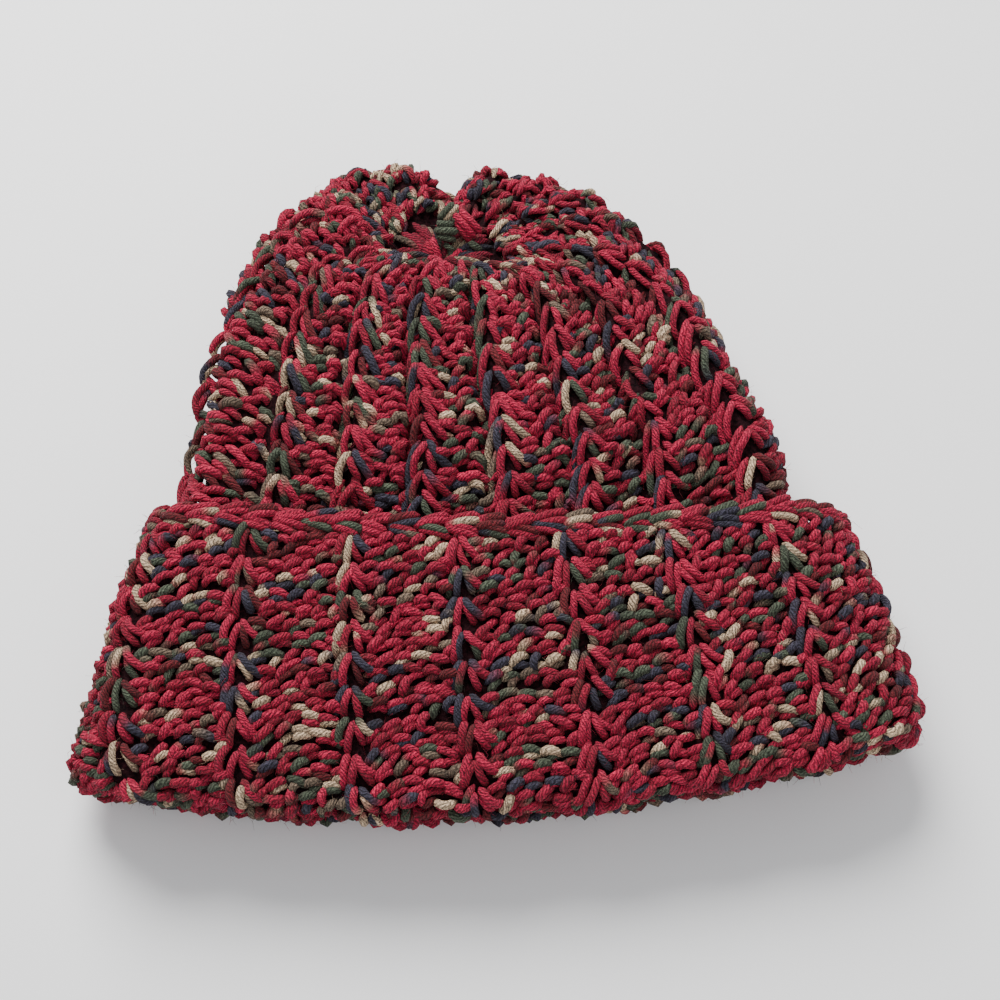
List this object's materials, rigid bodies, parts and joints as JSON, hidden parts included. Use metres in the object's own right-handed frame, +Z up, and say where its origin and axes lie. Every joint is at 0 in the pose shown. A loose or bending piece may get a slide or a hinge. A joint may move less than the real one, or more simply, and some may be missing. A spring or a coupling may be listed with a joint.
{
  "type": "winter hat",
  "caption": "Ribbed beanie of thick variegated yarn, closed by a gather at the top and open at the brim, with a tall turned-up cuff edged by a plait.",
  "frame": {"origin": "middle of the footprint, on the surface that the hat lies on", "axes": "+X across the hat from its left to its right in the picture, +Y from the brim to the gathered top, +Z up, away from the surface"},
  "size_m": [0.2518, 0.2284, 0.0553],
  "materials": {
    "crown_yarn": "two-ply yarn held double, crimson with stretches of dark green, navy and tan",
    "cuff_yarn": "two-ply yarn held double, crimson with stretches of dark green, navy and tan",
    "edging_yarn": "plaited yarn held double, crimson with stretches of dark green and navy",
    "knot_yarn": "two-ply yarn, dark green"
  },
  "bodies": {
    "root": {"crown": "crown_yarn", "cuff": "cuff_yarn", "cuff_edging": "edging_yarn", "gather_knot": "knot_yarn"}
  },
  "joints": []
}
